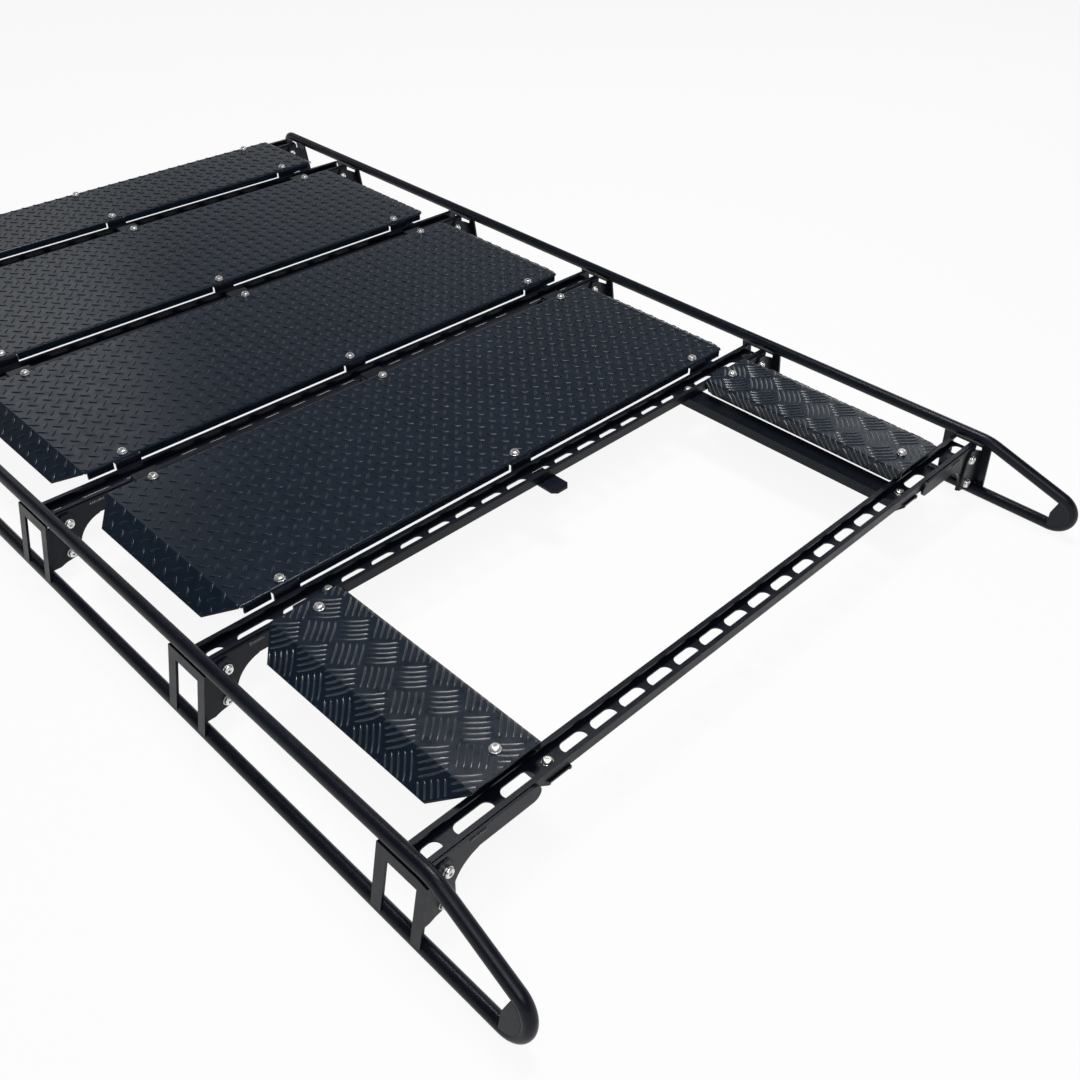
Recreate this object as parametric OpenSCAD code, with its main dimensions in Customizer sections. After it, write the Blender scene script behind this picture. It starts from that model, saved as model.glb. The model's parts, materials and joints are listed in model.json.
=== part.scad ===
// Full-length flat roof rack for an estate or off-road vehicle.
// Bent tube side frames, slotted crossbars, tread plate decks and an open sunroof bay.
// Origin: centre of the footprint, on the level that the lower rails rest on.
// X runs along the vehicle with the sloped nose at +X, Y across it and Z up. Millimetres.

/* [Overall] */
// Overall length, rear bend to nose
rack_l = 2215; // [1600:5:2800]
// Overall width across the lower rails
rack_w = 1300; // [1000:5:1600]
// Overall height of the side frames
rack_h = 131; // [105:1:180]
// How far the side frames lean in towards the top, degrees
lean = 9.7; // [0:0.1:15]

/* [Side frames] */
// Outside diameter of the bent tube
tube_d = 20; // [16:1:28]
// Radius of the nose bend, to the tube axis
nose_r = 32.5; // [26:0.5:40]
// Slope of the nose below level, degrees
nose_drop = 19.3; // [15:0.1:30]
// Radius of the shallow bend where the nose slope starts
kink_r = 90; // [40:5:160]
// Radius of the two rear bends, to the tube axis
rear_r = 24; // [18:1:40]
// How much thinner than the tube the infill of the nose bend is
nose_in = 1; // [0.5:0.5:8]

/* [Crossbars] */
// Clearance between the crossbar ends and the top rails, seen from above
bar_end = 1; // [1:0.5:20]
// Width of a crossbar
bar_w = 40; // [30:1:60]
// Depth of the channel
bar_h = 16; // [12:1:30]
// Sheet thickness of the channel
bar_t = 2.5; // [2:0.5:4]
// Width of the two inward lips
lip_w = 7.5; // [4:0.5:10]
// How far the crossbar tops lie below the tops of the side frames
bar_drop = 17; // [10:1:30]
// Distance from the start of the nose slope back to the centre of the front crossbar
nose_run = 23.5; // [10:0.5:120]
// Length of the open sunroof bay, bar to bar
sunroof_bay = 440; // [360:5:540]
// Spacing of the two rearmost crossbars
rear_bay = 218; // [180:1:300]
// Distance from the centre of the rearmost crossbar to the rear end
tail = 39.5; // [30:0.5:80]

/* [Slots] */
// Pitch of the slots along a crossbar
slot_pitch = 55; // [45:1:70]
// Length of a slot
slot_l = 43; // [30:1:50]
// Width of a slot
slot_w = 21; // [10:0.5:24]

/* [Decks] */
// Thickness of the tread plate
plate_t = 3; // [2:0.5:4]
// Height of the full decks above the crossbar tops
deck_rise = 15; // [10:1:30]
// How far the fold line of a full deck lies in from the overall width
deck_in = 120; // [100:1:160]
// Gap between a deck's front edge and the crossbar in front of it
deck_gap = 5; // [2:0.5:15]
// Gap between a deck's rear edge and the crossbar behind it
deck_back = 26; // [15:1:50]
// Height of the two small side decks above the crossbar tops
side_rise = 21; // [16:1:36]
// Width of a small side deck
side_w = 110; // [80:1:160]
// How far the fold line of a side deck lies in from the overall width
side_in = 130; // [110:1:170]
// Gap between a side deck and the crossbar behind it
side_gap = 13; // [8:1:30]
// How far a side deck laps over the front crossbar
side_lap = 13; // [0:1:20]
// Fold angle of the outer flanges below level, degrees
fold = 30; // [15:1:60]
// Length of the outer flanges down their slope
fold_l = 44; // [25:1:55]

/* [Brackets] */
// Sheet thickness of the gussets
gusset_t = 4.5; // [3:0.5:6]
// Sheet thickness of the uprights
upright_t = 4; // [3:0.5:6]
// Width of an upright along X
upright_w = 88; // [70:1:110]
// How far an upright stands out in front of its crossbar
upright_fore = 23; // [12:1:35]
// Width of the support tabs under the decks
tab_w = 43; // [30:1:60]

/* [Inner bars] */
// Width of an inner bar
inner_w = 39; // [20:1:44]
// Depth of an inner bar
inner_h = 18; // [12:1:30]

/* [Hidden] */
tube_r = tube_d / 2;
low_y = rack_w / 2 - tube_r;
loop_h = (rack_h - tube_d) / cos(lean);
half_l = rack_l / 2 - tube_r;
nose_x = half_l - nose_r;
// the slope is tangent to the nose bend and meets the top rail at kink_x
kink_x = nose_x - ((loop_h - nose_r) * cos(nose_drop) - nose_r) / sin(nose_drop);
kink_len = kink_r * tan(nose_drop / 2);
// bar positions, rear to front; the three deck bays share what the other runs leave
// the start of the slope counts to a whole millimetre
front_bar_x = rack_l / 2 - ceil(rack_l / 2 - kink_x + kink_len) - nose_run;
deck_bay = (rack_l / 2 + front_bar_x - sunroof_bay - rear_bay - tail) / 3;
bar_x = [
  front_bar_x - sunroof_bay - 3 * deck_bay - rear_bay,
  front_bar_x - sunroof_bay - 3 * deck_bay,
  front_bar_x - sunroof_bay - 2 * deck_bay,
  front_bar_x - sunroof_bay - deck_bay,
  front_bar_x - sunroof_bay,
  front_bar_x
];
// the crossbars end just inside the top rails, on a whole millimetre
bar_e = floor(low_y - (rack_h - tube_d) * tan(lean) - tube_r - bar_end);
bar_l = 2 * bar_e;
bar_top = rack_h - bar_drop;
bar_z = bar_top - bar_h;
deck_top = bar_top + deck_rise;
deck_w = rack_w - 2 * deck_in;
deck_l = deck_bay - bar_w - deck_gap - deck_back;
side_top = bar_top + side_rise;
side_l = sunroof_bay - bar_w - side_gap + side_lap;
// the inner bars run under the inner edges of the side decks
inner_y = rack_w / 2 - side_in - side_w - 5;
tab_y = inner_y + 53;
// slots that fit between the two inner bars, on each side of the centre line
slots_n = floor((inner_y - slot_l / 2 - 9) / slot_pitch + 0.5);
// the rearmost upright stands in the short straight in front of the rear bend
rear_fore = 9;
rear_w = bar_x[0] + bar_w / 2 + rear_fore + half_l - rear_r - 0.5;
seat = 0.3;
// height above the lower axis at which the inside of an upright's sheet meets a tube
touch = sqrt(tube_r * tube_r - (tube_r - upright_t) * (tube_r - upright_t));
nose_plate_t = tube_d - nose_in;
steel = [0.06, 0.065, 0.07];
plate = [0.10, 0.13, 0.16];

$fn = 48;

// puts a flat drawing of the left side frame, x along and z up from the lower axis, in place
module side_plane() {
  translate([0, low_y, tube_r])
    rotate([lean, 0, 0])
      children();
}

module tube_x(x0, x1, z) {
  translate([x0, 0, z])
    rotate([0, 90, 0])
      cylinder(r = tube_r, h = x1 - x0);
}

// bent tube in the side plane about (cx, cz), from angle a0 over da degrees
module tube_bend(cx, cz, r, a0, da) {
  translate([cx, 0, cz])
    rotate([90, 0, 0])
      rotate([0, 0, a0])
        rotate_extrude(angle = da)
          translate([r, 0])
            circle(r = tube_r);
}

module top_rail() {
  tube_x(-half_l + rear_r, kink_x - kink_len, loop_h);
}

module lower_rail() {
  tube_x(-half_l + rear_r, nose_x, 0);
}

module nose_bend() {
  slope_l = (nose_x - kink_x) * cos(nose_drop) + (loop_h - nose_r) * sin(nose_drop);
  tube_bend(kink_x - kink_len, loop_h - kink_r, kink_r, 90 - nose_drop, nose_drop);
  translate([kink_x, 0, loop_h])
    rotate([0, 90 + nose_drop, 0])
      translate([0, 0, kink_len - 1])
        cylinder(r = tube_r - 0.03, h = slope_l - kink_len + 2);
  tube_bend(nose_x, nose_r, nose_r, -90, 180 - nose_drop);
}

module rear_bend() {
  tube_bend(-half_l + rear_r, loop_h - rear_r, rear_r, 90, 90);
  translate([-half_l, 0, rear_r])
    cylinder(r = tube_r, h = loop_h - 2 * rear_r);
  tube_bend(-half_l + rear_r, rear_r, rear_r, 180, 90);
}

// flat infill inside the nose bend, hollowed along its rim to clear the tube
module nose_plate() {
  translate([nose_x, 0, nose_r])
    rotate([90, 0, 0])
      rotate([0, 0, -90])
        rotate_extrude(angle = 180 - nose_drop)
          difference() {
            translate([0, -nose_plate_t / 2])
              square([nose_r, nose_plate_t]);
            translate([nose_r, 0])
              circle(r = tube_r + seat);
          }
}

// upright: a sheet flush with the outside of the tubes and saddled on the lower one,
// its window open at the foot, and the wall that is folded inwards from the front leg
module upright(x, w, fore, open) {
  front = x + bar_w / 2 + fore;
  wall_x = x + bar_w / 2 + gusset_t;
  side_plane()
    difference() {
      translate([front - w, 0, 0])
        rotate([90, 0, 90])
          linear_extrude(w)
            difference() {
              translate([tube_r - upright_t, 2])
                square([upright_t, loop_h - touch - seat - 2]);
              circle(r = tube_r + seat);
            }
      if (open)
        translate([front - w + 18, -tube_r, -20])
          cube([wall_x + upright_t / 2 - front + w - 18, 3 * tube_r, loop_h - 4.5]);
      if (front > kink_x - kink_len)
        kink_trim(front + 1);
    }
  translate([wall_x, 0, 0])
    wall_sheet();
}

// takes the top of an upright's sheet down along the bend where the nose slope starts
module kink_trim(x1) {
  x0 = kink_x - kink_len;
  top = loop_h - touch - seat;
  drop = (x1 - x0) * (x1 - x0) / (2 * (kink_r - touch)) + 0.2;
  translate([0, tube_d, 0])
    rotate([90, 0, 0])
      linear_extrude(2 * tube_d)
        polygon([
          [x0, top],
          [x1, top - drop],
          [x1, top + 5],
          [x0, top + 5]
        ]);
}

// middle of the upright's sheet at height z
function sheet_y(z) = low_y + (tube_r - upright_t / 2) / cos(lean) - (z - tube_r) * tan(lean);

// inward wall of an upright, in front of the gusset plate that it is bolted to
module wall_sheet() {
  rotate([90, 0, 90])
    linear_extrude(upright_t)
      polygon([
        [bar_e - 29, tube_d + 12],
        [bar_e - 29, bar_z - 28],
        [bar_e - 30, bar_z - 3],
        [bar_e - 22, bar_top - 4],
        [bar_e - 9, bar_top - 6],
        [sheet_y(bar_z - 7), bar_z - 7],
        [sheet_y(tube_d + 2), tube_d + 2],
        [bar_e + 12, tube_d + 2],
        [bar_e + 2, tube_d + 6]
      ]);
}

// gusset plate: arm along the crossbar, swept down to a leg behind the upright's wall
module gusset(x) {
  translate([x + bar_w / 2, 0, 0])
    rotate([90, 0, 90])
      linear_extrude(gusset_t)
        difference() {
          union() {
            translate([tab_y - 6, bar_top - 15])
              circle(r = 13);
            translate([tab_y - 6, bar_top - 28])
              square([bar_e - tab_y + 6, 26]);
            translate([bar_e - 70, tube_d + 10])
              square([70, bar_top - tube_d - 37]);
          }
          // the sweep under the arm
          translate([bar_e - 80, bar_z - 64])
            circle(r = 52);
          translate([bar_e - 110, -40])
            square([81, bar_z - 23.5]);
        }
}

// slotted channel with inward lips
module crossbar(x) {
  translate([x - bar_w / 2, -bar_l / 2, bar_z])
    difference() {
      translate([0, bar_l, 0])
        rotate([90, 0, 0])
          linear_extrude(bar_l)
            polygon([
              [0, 0],
              [bar_w, 0],
              [bar_w, bar_h],
              [bar_w - lip_w, bar_h],
              [bar_w - lip_w, bar_h - bar_t],
              [bar_w - bar_t, bar_h - bar_t],
              [bar_w - bar_t, bar_t],
              [bar_t, bar_t],
              [bar_t, bar_h - bar_t],
              [lip_w, bar_h - bar_t],
              [lip_w, bar_h],
              [0, bar_h]
            ]);
      for (i = [0:2 * slots_n - 1]) {
        translate([bar_w / 2, bar_l / 2 + (i - slots_n + 0.5) * slot_pitch, 0])
          slot(slot_l);
      }
      for (s = [-1, 1]) {
        translate([bar_w / 2, bar_l / 2 + s * (inner_y + 50), 0])
          slot(50);
        translate([bar_w / 2, bar_l / 2 + s * (bar_e - 85), 0])
          slot(59);
        translate([bar_w / 2, bar_l / 2 + s * (bar_e - 20), 0])
          slot(28);
        translate([bar_w / 2, bar_l / 2 + s * inner_y, -1])
          cylinder(r = 4.5, h = bar_t + 2);
      }
    }
}

module slot(len) {
  translate([0, 0, -1])
    linear_extrude(bar_t + 2)
      union() {
        translate([-slot_w / 2, -len / 2 + slot_w / 2])
          square([slot_w, len - slot_w]);
        translate([0, -len / 2 + slot_w / 2])
          circle(r = slot_w / 2);
        translate([0, len / 2 - slot_w / 2])
          circle(r = slot_w / 2);
      }
}

// points of a sheet folded down by ang at (y, z), z being its top: outer face, then inner face
function fold_out(y, z, ang, len) = concat(
  [for (i = [0:3]) [y + plate_t * sin(ang * i / 3), z - plate_t + plate_t * cos(ang * i / 3)]],
  [[y + plate_t * sin(ang) + len * cos(ang), z - plate_t + plate_t * cos(ang) - len * sin(ang)]]
);
function fold_in(y, z, ang, len) = [
  [y + len * cos(ang), z - plate_t - len * sin(ang)],
  [y, z - plate_t]
];
function mirrored(pts) = [for (i = [len(pts) - 1:-1:0]) [-pts[i][0], pts[i][1]]];

// oblique corner cut of an outer flange, in plan, at the end x and running towards dir
module corner_cut(x, y, z, dir) {
  reach = fold_l * cos(fold) + plate_t;
  translate([0, 0, z - 60])
    linear_extrude(80)
      polygon([
        [x - dir * 2.4, y],
        [x + dir * 45.6, y + reach],
        [x + dir * 45.6, y + reach + 20],
        [x - dir * 20, y + reach + 20],
        [x - dir * 20, y]
      ]);
}

// rounded top edge along Y of a deck at its end x, the outside being towards dir
module edge_strip(x, dir) {
  translate([x, deck_w / 2, deck_top])
    rotate([90, 0, 0])
      linear_extrude(deck_w)
        polygon([
          [0, -plate_t],
          [-dir * plate_t, -plate_t],
          [-dir * plate_t, 0],
          [-dir * plate_t * 0.5, -plate_t * 0.134],
          [-dir * plate_t * 0.134, -plate_t * 0.5]
        ]);
}

// full deck between x0 and x1; its edge folds leave room for the support tabs
module deck(x0, x1) {
  y1 = deck_w / 2;
  difference() {
    translate([x0 + plate_t, 0, 0])
      rotate([90, 0, 90])
        linear_extrude(x1 - x0 - 2 * plate_t)
          polygon(concat(
            mirrored(fold_out(y1, deck_top, fold, fold_l)),
            fold_out(y1, deck_top, fold, fold_l),
            fold_in(y1, deck_top, fold, fold_l),
            mirrored(fold_in(y1, deck_top, fold, fold_l))
          ));
    for (m = [0, 1]) {
      mirror([0, m, 0])
        corner_cut(x0 + plate_t, y1, deck_top, 1);
      mirror([0, m, 0])
        corner_cut(x1 - plate_t, y1, deck_top, -1);
    }
  }
  edge_strip(x0, -1);
  edge_strip(x1, 1);
  for (x = [x0, x1 - plate_t]) {
    for (m = [0, 1]) {
      mirror([0, m, 0]) {
        translate([x, tab_w / 2 + 2, bar_top])
          cube([plate_t, tab_y - tab_w - 4, deck_top - plate_t - bar_top]);
        translate([x, tab_y + tab_w / 2 + 2, bar_top])
          cube([plate_t, deck_w / 2 - 6 - tab_y - tab_w / 2, deck_top - plate_t - bar_top]);
      }
    }
  }
}

// full deck in the bay behind crossbar i
module bay_deck(i) {
  front = bar_x[i] - bar_w / 2 - deck_gap;
  deck(front - deck_l, front);
}

// small deck beside the sunroof bay
module side_deck() {
  x0 = bar_x[4] + bar_w / 2 + side_gap;
  x1 = x0 + side_l;
  y0 = inner_y + 5;
  y1 = y0 + side_w;
  low = side_top - 24;
  difference() {
    translate([x0, 0, 0])
      rotate([90, 0, 90])
        linear_extrude(side_l)
          polygon(concat(
            [[y0, low], [y0, side_top - plate_t]],
            [[y0 + plate_t * 0.134, side_top - plate_t * 0.5]],
            [[y0 + plate_t * 0.5, side_top - plate_t * 0.134]],
            [[y0 + plate_t, side_top]],
            fold_out(y1, side_top, fold, fold_l),
            fold_in(y1, side_top, fold, fold_l),
            [[y0 + plate_t, side_top - plate_t], [y0 + plate_t, low]]
          ));
    corner_cut(x0, y1, side_top, 1);
    corner_cut(x1, y1, side_top, -1);
    // cut corners of the inner flange
    for (c = [[x0, 1], [x1, -1]]) {
      translate([c[0], y0 + 10, low])
        rotate([90, 0, 0])
          linear_extrude(20)
            polygon([
              [-c[1] * 5, -5],
              [c[1] * 23, -5],
              [-c[1] * 5, 17]
            ]);
    }
  }
}

// support tab on the rear face of a crossbar, level top at z, len long
module tab_behind(x, y, z, len) {
  translate([x - bar_w / 2 - len, y - tab_w / 2, z - 3])
    cube([len, tab_w, 3]);
  translate([x - bar_w / 2 - 3, y - tab_w / 2, bar_z])
    cube([3, tab_w, z - bar_z]);
}

// support tab on the front face of a crossbar, or of the gusset plate that is off thick there
module tab_ahead(x, y, z, off, len) {
  translate([x + bar_w / 2 + off, y - tab_w / 2, z - 3])
    cube([len - off, tab_w, 3]);
  translate([x + bar_w / 2 + off, y - tab_w / 2, bar_z])
    cube([3, tab_w, z - bar_z]);
}

module deck_tabs() {
  for (i = [1:4]) {
    for (y = [-tab_y, 0, tab_y]) {
      tab_behind(bar_x[i], y, deck_top - plate_t, deck_gap + 29);
    }
  }
  for (i = [0:3]) {
    for (y = [-tab_y, 0, tab_y]) {
      tab_ahead(bar_x[i], y, deck_top - plate_t, y == 0 ? 0 : gusset_t, deck_back + 26);
    }
  }
  for (y = [-tab_y, tab_y]) {
    tab_ahead(bar_x[4], y, side_top - plate_t, gusset_t, side_gap + 39);
    tab_behind(bar_x[5], y, side_top - plate_t, 34);
  }
}

// channel under the inner edge of each small deck, bolted up into the crossbars,
// with the legs cut obliquely at both ends
module inner_bar() {
  x0 = bar_x[4] - bar_w / 2 - 3;
  x1 = bar_x[5] + bar_w / 2 + 3;
  low = bar_z - inner_h;
  difference() {
    translate([x0, inner_y, low])
      rotate([90, 0, 90])
        linear_extrude(x1 - x0)
          polygon([
            [-inner_w / 2, 0],
            [-inner_w / 2, inner_h],
            [inner_w / 2, inner_h],
            [inner_w / 2, 0],
            [inner_w / 2 - 3, 0],
            [inner_w / 2 - 3, inner_h - 3],
            [-inner_w / 2 + 3, inner_h - 3],
            [-inner_w / 2 + 3, 0]
          ]);
    for (e = [[x0, 1], [x1, -1]]) {
      translate([e[0], inner_y + inner_w, low])
        rotate([90, 0, 0])
          linear_extrude(2 * inner_w)
            polygon([
              [-e[1], inner_h - 4],
              [-e[1], -1],
              [e[1] * (inner_h - 4), -1]
            ]);
    }
  }
}

module centre_tab() {
  x = bar_x[4] + bar_w / 2;
  translate([x - 30, 0, bar_z - 4])
    linear_extrude(4)
      polygon([
        [0, 0],
        [58, 0],
        [66, 8],
        [66, 30],
        [58, 38],
        [0, 38]
      ]);
}

module left_top_rail() { color(steel) side_plane() top_rail(); }
module left_lower_rail() { color(steel) side_plane() lower_rail(); }
module left_nose_bend() { color(steel) side_plane() nose_bend(); }
module left_rear_bend() { color(steel) side_plane() rear_bend(); }
module left_nose_plate() { color(steel) side_plane() nose_plate(); }
module right_top_rail() { color(steel) mirror([0, 1, 0]) side_plane() top_rail(); }
module right_lower_rail() { color(steel) mirror([0, 1, 0]) side_plane() lower_rail(); }
module right_nose_bend() { color(steel) mirror([0, 1, 0]) side_plane() nose_bend(); }
module right_rear_bend() { color(steel) mirror([0, 1, 0]) side_plane() rear_bend(); }
module right_nose_plate() { color(steel) mirror([0, 1, 0]) side_plane() nose_plate(); }

module left_upright(i) { color(steel) upright(bar_x[i], upright_w, upright_fore, true); }
module right_upright(i) { color(steel) mirror([0, 1, 0]) upright(bar_x[i], upright_w, upright_fore, true); }
module rear_upright() { color(steel) upright(bar_x[0], rear_w, rear_fore, false); }
module gussets(i) {
  color(steel) gusset(bar_x[i]);
  color(steel) mirror([0, 1, 0]) gusset(bar_x[i]);
}

left_top_rail();
left_lower_rail();
left_nose_bend();
left_rear_bend();
right_top_rail();
right_lower_rail();
right_nose_bend();
right_rear_bend();
left_nose_plate();
right_nose_plate();
rear_upright();  // left_upright_one
left_upright(1);  // left_upright_two
left_upright(2);  // left_upright_three
left_upright(3);  // left_upright_four
left_upright(4);  // left_upright_five
left_upright(5);  // left_upright_six
mirror([0, 1, 0]) rear_upright();  // right_upright_one
right_upright(1);  // right_upright_two
right_upright(2);  // right_upright_three
right_upright(3);  // right_upright_four
right_upright(4);  // right_upright_five
right_upright(5);  // right_upright_six
gussets(0);  // gussets_one
gussets(1);  // gussets_two
gussets(2);  // gussets_three
gussets(3);  // gussets_four
gussets(4);  // gussets_five
gussets(5);  // gussets_six
color(steel) crossbar(bar_x[0]);  // crossbar_one
color(steel) crossbar(bar_x[1]);  // crossbar_two
color(steel) crossbar(bar_x[2]);  // crossbar_three
color(steel) crossbar(bar_x[3]);  // crossbar_four
color(steel) crossbar(bar_x[4]);  // crossbar_five
color(steel) crossbar(bar_x[5]);  // crossbar_six
color(plate) deck(bar_x[0], bar_x[1] - bar_w / 2 - deck_gap);  // rear_deck
color(plate) bay_deck(2);  // deck_two
color(plate) bay_deck(3);  // deck_three
color(plate) bay_deck(4);  // front_deck
color(plate) side_deck();  // left_side_deck
color(plate) mirror([0, 1, 0]) side_deck();  // right_side_deck
color(steel) inner_bar();  // left_inner_bar
color(steel) mirror([0, 1, 0]) inner_bar();  // right_inner_bar
color(steel) deck_tabs();
color(steel) centre_tab();
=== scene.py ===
"""Looks of a flat vehicle roof rack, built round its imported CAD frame.

The tubes, crossbars, brackets and folded plates are the CAD nodes, which take their finishes here.
The raised tread bars, bolts, nuts and weld beads are modelled here and stand on those nodes.
Lengths are metres in the rack's frame: +X to the sloped nose, +Y to the left, +Z up.
"""

import json
import logging
import math
from dataclasses import dataclass, field
from enum import Enum, IntEnum
from typing import Callable, Iterable

import bpy
from mathutils import Matrix, Vector

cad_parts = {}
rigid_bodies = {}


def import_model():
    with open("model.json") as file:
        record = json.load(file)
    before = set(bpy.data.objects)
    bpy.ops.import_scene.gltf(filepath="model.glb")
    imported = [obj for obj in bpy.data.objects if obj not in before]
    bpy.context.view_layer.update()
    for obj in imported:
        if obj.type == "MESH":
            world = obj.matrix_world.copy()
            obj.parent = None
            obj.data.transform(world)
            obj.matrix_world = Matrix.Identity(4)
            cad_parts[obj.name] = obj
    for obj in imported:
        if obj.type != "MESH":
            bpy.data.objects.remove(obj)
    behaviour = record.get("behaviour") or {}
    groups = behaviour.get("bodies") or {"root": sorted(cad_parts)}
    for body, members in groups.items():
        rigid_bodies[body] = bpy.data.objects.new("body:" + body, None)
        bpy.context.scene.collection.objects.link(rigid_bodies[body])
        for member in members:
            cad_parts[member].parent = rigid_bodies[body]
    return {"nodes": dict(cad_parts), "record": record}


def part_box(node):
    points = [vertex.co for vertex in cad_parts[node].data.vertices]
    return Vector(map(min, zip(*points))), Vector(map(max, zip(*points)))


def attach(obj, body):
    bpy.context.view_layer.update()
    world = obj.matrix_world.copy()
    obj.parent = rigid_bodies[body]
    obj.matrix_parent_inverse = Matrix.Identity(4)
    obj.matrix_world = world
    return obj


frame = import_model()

LOG = logging.getLogger("roof_rack")
MM = 0.001
BODY = "root"
CROSSBARS = ("one", "two", "three", "four", "five", "six")
# A face whose normal rises or falls by more than this is level.
LEVEL = 0.9
# Edges sharper than these angles, in degrees, stay sharp on worn bars and on machined pieces.
WORN_EDGE = 50.0
MACHINED_EDGE = 35.0
# Shares of a rounded fold's arc at which the bars on it are divided.
ARC_SHARES = (0.0, 0.33, 0.67, 1.0)
# Range of heights in which most of a noise pattern lies.
NOISE_RANGE = (0.3, 0.7)

Colour = tuple[float, float, float]
Point = tuple[float, float, float]
Pair = tuple[float, float]
Test = Callable[[Vector], bool]
Material = bpy.types.Material
Object = bpy.types.Object
Socket = bpy.types.NodeSocket


class Slot(Enum):
    """Material slots of the record."""

    POWDER = "powder_coat"
    TREAD = "tread_plate"


class Side(IntEnum):
    """Side of the rack, as the sign of its Y coordinates."""

    LEFT = 1
    RIGHT = -1


def across(node: str, side: Side) -> Pair:
    """Measures a node from the centre line towards one side.

    Args:
        node: The CAD node.
        side: The side.

    Returns:
        Distances of its inner and its outer edge.
    """
    low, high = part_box(node)
    return (low.y, high.y) if side is Side.LEFT else (-high.y, -low.y)


# Work bench


class Bench:
    """Operator calls of the modelling work, with their selections made in code."""

    @staticmethod
    def clear() -> None:
        """Deselects every object and leaves edit mode."""
        if bpy.context.object and bpy.context.object.mode != "OBJECT":
            bpy.ops.object.mode_set(mode="OBJECT")
        bpy.ops.object.select_all(action="DESELECT")

    @staticmethod
    def take(*objs: Object) -> None:
        """Makes some objects the only selected ones and the first of them active.

        Args:
            *objs: The objects to take.
        """
        Bench.clear()
        for obj in objs:
            obj.select_set(True)
        bpy.context.view_layer.objects.active = objs[0]

    @staticmethod
    def join(*objs: Object) -> Object:
        """Joins objects into the first of them.

        Args:
            *objs: The objects to join.

        Returns:
            The joined object.
        """
        Bench.take(*objs)
        if len(objs) > 1:
            bpy.ops.object.join()
        return objs[0]

    @staticmethod
    def prism(name: str, sides: int, radius: float, depth: float, base: float) -> Object:
        """Adds an upright prism on the Z axis.

        Args:
            name: Name of the new object.
            sides: Number of sides.
            radius: Radius over its corners.
            depth: Height of the prism.
            base: Height of its underside.

        Returns:
            The new object, selected and active.
        """
        Bench.clear()
        bpy.ops.mesh.primitive_cylinder_add(
            vertices=sides, radius=radius, depth=depth, location=(0.0, 0.0, base + depth / 2)
        )
        bpy.ops.object.transform_apply(location=True, rotation=True, scale=True)
        obj = bpy.context.object
        obj.name = name
        return obj

    @staticmethod
    def drop_picks(kind: str) -> None:
        """Sets what edit mode selects and leaves the active object with nothing selected.

        Args:
            kind: VERT or FACE.
        """
        bpy.ops.object.mode_set(mode="EDIT")
        bpy.ops.mesh.select_mode(type=kind)
        bpy.ops.mesh.select_all(action="DESELECT")
        bpy.ops.object.mode_set(mode="OBJECT")

    @staticmethod
    def pick_level(obj: Object, up: bool = True, down: bool = False) -> None:
        """Selects the level faces that look up or down and goes to edit mode.

        Args:
            obj: The active object.
            up: Whether faces that look up are wanted.
            down: Whether faces that look down are wanted.
        """
        Bench.drop_picks("FACE")
        for face in obj.data.polygons:
            rise = face.normal.z
            face.select = (up and rise > LEVEL) or (down and rise < -LEVEL)
        bpy.ops.object.mode_set(mode="EDIT")

    @staticmethod
    def pick_points(obj: Object, test: Test) -> int:
        """Selects the vertices that pass a test and goes to edit mode.

        Args:
            obj: The active object.
            test: Says whether a point is wanted.

        Returns:
            How many vertices were picked.
        """
        Bench.drop_picks("VERT")
        count = 0
        for point in obj.data.vertices:
            point.select = test(point.co)
            count += point.select
        bpy.ops.object.mode_set(mode="EDIT")
        return count

    @staticmethod
    def repeat(obj: Object, count: int, step: Vector) -> None:
        """Repeats an object's mesh in a row by an array modifier that is applied.

        Args:
            obj: The object.
            count: Number of copies, the first included.
            step: Distance from one copy to the next.
        """
        Bench.take(obj)
        row = obj.modifiers.new("row", "ARRAY")
        row.count = count
        row.use_relative_offset = False
        row.use_constant_offset = True
        row.constant_offset_displace = step
        bpy.ops.object.modifier_apply(modifier=row.name)

    @staticmethod
    def cut(obj: Object, point: Vector, normal: Vector, near: Test | None = None) -> None:
        """Cuts away what lies on the normal's side of a plane and closes the cut.

        Args:
            obj: The object.
            point: A point of the plane.
            normal: The plane's normal, towards what goes.
            near: Picks the shells that are cut, by a point of theirs, or all where it is None.
        """
        Bench.take(obj)
        if near is None:
            bpy.ops.object.mode_set(mode="EDIT")
            bpy.ops.mesh.select_all(action="SELECT")
        else:
            if not Bench.pick_points(obj, near):
                bpy.ops.object.mode_set(mode="OBJECT")
                return
            bpy.ops.mesh.select_linked()
        bpy.ops.mesh.bisect(plane_co=point, plane_no=normal, use_fill=True, clear_outer=True)
        bpy.ops.object.mode_set(mode="OBJECT")

    @staticmethod
    def smooth(obj: Object, degrees: float) -> None:
        """Shades an object smooth, except at edges sharper than an angle.

        Args:
            obj: The object.
            degrees: The angle.
        """
        Bench.take(obj)
        bpy.ops.object.shade_smooth_by_angle(angle=math.radians(degrees))

    @staticmethod
    def copies(obj: Object, name: str, places: Iterable[Matrix]) -> Object:
        """Joins copies of an object, one at each place, and removes the original.

        Args:
            obj: The object that is copied, at the origin.
            name: Name of the joined piece.
            places: Where each copy goes.

        Returns:
            The joined piece, with its place in its mesh.
        """
        made = []
        for place in places:
            twin = obj.copy()
            twin.data = obj.data.copy()
            twin.data.transform(place)
            bpy.context.scene.collection.objects.link(twin)
            made.append(twin)
        bpy.data.objects.remove(obj)
        piece = Bench.join(*made)
        piece.name = name
        piece.data.name = name
        return piece

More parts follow.
